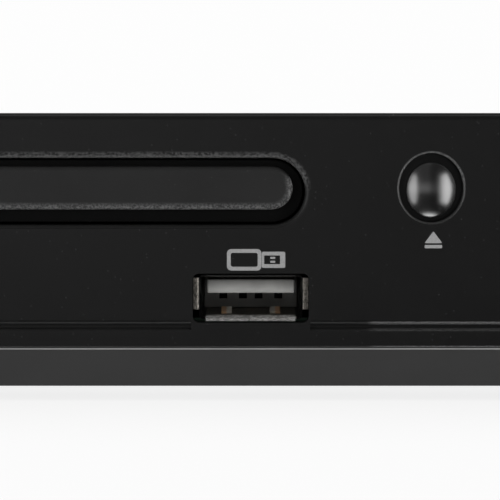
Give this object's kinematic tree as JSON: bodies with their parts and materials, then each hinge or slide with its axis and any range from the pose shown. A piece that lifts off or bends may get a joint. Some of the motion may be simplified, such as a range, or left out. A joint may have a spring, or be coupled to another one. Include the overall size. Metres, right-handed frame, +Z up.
{
  "type": "disc player with loading tray",
  "caption": "Slim case with a motor-driven disc tray in a glossy front, domed keys, a flat data socket, and signal jacks and a mains inlet at the rear.",
  "frame": {"origin": "on the table, under the middle of the whole player", "axes": "+X to the right along the front, +Y from the front to the rear, +Z up; the front faces -Y"},
  "size_m": [0.2728, 0.2078, 0.0365],
  "materials": {
    "galvanised_steel": "galvanised sheet",
    "painted_sheet": "fine textured black paint",
    "rear_sheet": "semi matt black paint",
    "foot_rubber": "matt",
    "black_screw": "black zinc",
    "zinc_screw": "zinc plated",
    "fascia_gloss": "high gloss",
    "accent_bright": "bright satin",
    "trim_grey": "satin grey paint",
    "receiver_window": "dark tinted gloss",
    "light_red": "translucent red",
    "key_gloss": "high gloss",
    "board_green": "solder mask",
    "board_tan": "bare laminate",
    "component_black": "moulded",
    "component_blue": "printed sleeve",
    "coil_yellow": "taped",
    "ribbon_grey": "flat cable",
    "port_steel": "tin plated",
    "port_white": "moulded white",
    "contact_gold": "gold flashed",
    "spring_copper": "bronze",
    "tray_satin": "satin black",
    "tray_front_satin": "satin black",
    "frame_plastic": "moulded",
    "clamp_white": "moulded",
    "gear_white": "acetal",
    "motor_steel": "plated can",
    "pulley_brass": "turned",
    "belt_rubber": "ground",
    "turntable_black": "moulded",
    "pad_rubber": "matt",
    "rod_steel": "ground",
    "pickup_metal": "die cast",
    "lens_glass": "coated",
    "jack_yellow": "moulded",
    "jack_white": "moulded",
    "jack_red": "moulded",
    "barrel_metal": "nickel plated",
    "inlet_black": "moulded"
  },
  "bodies": {
    "case": {"bottom_chassis": "galvanised_steel", "board_posts": "motor_steel", "top_cover": "painted_sheet", "rear_panel": "rear_sheet", "feet": "foot_rubber", "cover_screws": "black_screw", "inner_screws": "zinc_screw", "front_panel": "fascia_gloss", "accent_strip": "accent_bright", "lower_trim": "trim_grey", "ir_window": "receiver_window", "standby_light_pipe": "light_red", "key_boards": "board_green", "tact_switches": "component_black", "port_board": "board_green", "data_port_shell": "port_steel", "data_port_tongue": "port_white", "data_port_contacts": "contact_gold", "data_port_springs": "spring_copper", "loader_frame": "frame_plastic", "loader_dampers": "foot_rubber", "clamp_bridge": "frame_plastic", "tray_switch": "component_black", "loading_motor": "motor_steel", "drive_belt": "belt_rubber", "main_board": "board_green", "power_board": "board_tan", "chips": "component_black", "capacitors": "component_blue", "transformer": "coil_yellow", "ribbon_cables": "ribbon_grey", "video_jack": "jack_yellow", "left_audio_jack": "jack_white", "right_audio_jack": "jack_red", "jack_barrels": "barrel_metal", "digital_video_socket": "port_steel", "digital_video_tongue": "component_black", "mains_inlet": "inlet_black", "inlet_pins": "contact_gold"},
    "tray": {"disc_tray": "tray_satin", "tray_front": "tray_front_satin"},
    "drive_gear": {"drive_gear": "gear_white"},
    "pulley_gear": {"pulley_gear": "gear_white"},
    "motor_pulley": {"motor_pulley": "pulley_brass"},
    "cam_slider": {"cam_slider": "gear_white"},
    "traverse": {"traverse_base": "frame_plastic", "spindle_motor": "motor_steel", "guide_rods": "rod_steel", "feed_motor": "motor_steel"},
    "turntable": {"turntable": "turntable_black", "disc_pad": "pad_rubber"},
    "clamper": {"clamper": "clamp_white"},
    "pickup": {"pickup_body": "pickup_metal"},
    "lens": {"objective_lens": "lens_glass"},
    "feed_gear": {"feed_gear": "gear_white"},
    "feed_pinion": {"feed_pinion": "pulley_brass"},
    "eject_button": {"eject_button": "key_gloss"},
    "play_button": {"play_button": "key_gloss"},
    "stop_button": {"stop_button": "key_gloss"},
    "power_button": {"power_button": "key_gloss"}
  },
  "joints": [
    {"name": "tray_slide", "type": "slide", "parent": "case", "child": "tray", "axis": [0, -1, 0], "range_m": [0, 0.132]},
    {"name": "drive_gear_spin", "type": "hinge", "parent": "case", "child": "drive_gear", "pos_m": [-0.08, -0.0741, 0.02151], "axis": [0, 0, 1], "continuous": true},
    {"name": "pulley_gear_spin", "type": "hinge", "parent": "case", "child": "pulley_gear", "pos_m": [-0.0644, -0.0741, 0.01952], "axis": [0, 0, 1], "continuous": true},
    {"name": "motor_pulley_spin", "type": "hinge", "parent": "case", "child": "motor_pulley", "pos_m": [-0.0344, -0.0741, 0.01952], "axis": [0, 0, 1], "continuous": true},
    {"name": "traverse_tilt", "type": "hinge", "parent": "case", "child": "traverse", "pos_m": [-0.041, 0.0549, 0.01842], "axis": [1, 0, 0], "range_deg": [0, 4.5]},
    {"name": "cam_slide", "type": "slide", "parent": "case", "child": "cam_slider", "axis": [1, 0, 0], "range_m": [0, 0.01001]},
    {"name": "spindle_spin", "type": "hinge", "parent": "traverse", "child": "turntable", "pos_m": [-0.041, -0.0271, 0.02592], "axis": [0, 0, 1], "continuous": true},
    {"name": "clamper_spin", "type": "hinge", "parent": "case", "child": "clamper", "pos_m": [-0.041, -0.0271, 0.03071], "axis": [0, 0, 1], "continuous": true},
    {"name": "pickup_slide", "type": "slide", "parent": "traverse", "child": "pickup", "axis": [0, 1, 0], "range_m": [0, 0.034]},
    {"name": "feed_gear_spin", "type": "hinge", "parent": "traverse", "child": "feed_gear", "pos_m": [-0.0105, 0.02203, 0.01362], "axis": [0, 0, 1], "continuous": true},
    {"name": "feed_pinion_spin", "type": "hinge", "parent": "traverse", "child": "feed_pinion", "pos_m": [0.001, 0.02203, 0.01362], "axis": [0, 0, 1], "continuous": true},
    {"name": "lens_focus", "type": "slide", "parent": "pickup", "child": "lens", "axis": [0, 0, 1], "range_m": [-0.0004, 0.0004], "stiffness_N_per_m": 60},
    {"name": "eject_press", "type": "slide", "parent": "case", "child": "eject_button", "axis": [0, 1, 0], "range_m": [0, 0.0006], "stiffness_N_per_m": 400},
    {"name": "play_press", "type": "slide", "parent": "case", "child": "play_button", "axis": [0, 1, 0], "range_m": [0, 0.0006], "stiffness_N_per_m": 400},
    {"name": "stop_press", "type": "slide", "parent": "case", "child": "stop_button", "axis": [0, 1, 0], "range_m": [0, 0.0006], "stiffness_N_per_m": 400},
    {"name": "power_press", "type": "slide", "parent": "case", "child": "power_button", "axis": [0, 1, 0], "range_m": [0, 0.0006], "stiffness_N_per_m": 400}
  ],
  "couplings": [
    {"joint": "drive_gear_spin", "follows": "tray_slide", "rad_per_m": 125},
    {"joint": "pulley_gear_spin", "follows": "tray_slide", "rad_per_m": -416.67},
    {"joint": "motor_pulley_spin", "follows": "tray_slide", "rad_per_m": -1666.7},
    {"joint": "cam_slide", "follows": "traverse_tilt", "m_per_rad": 0.12732},
    {"joint": "clamper_spin", "follows": "spindle_spin", "ratio": 1},
    {"joint": "feed_gear_spin", "follows": "pickup_slide", "rad_per_m": -333.33},
    {"joint": "feed_pinion_spin", "follows": "pickup_slide", "rad_per_m": 1200}
  ]
}
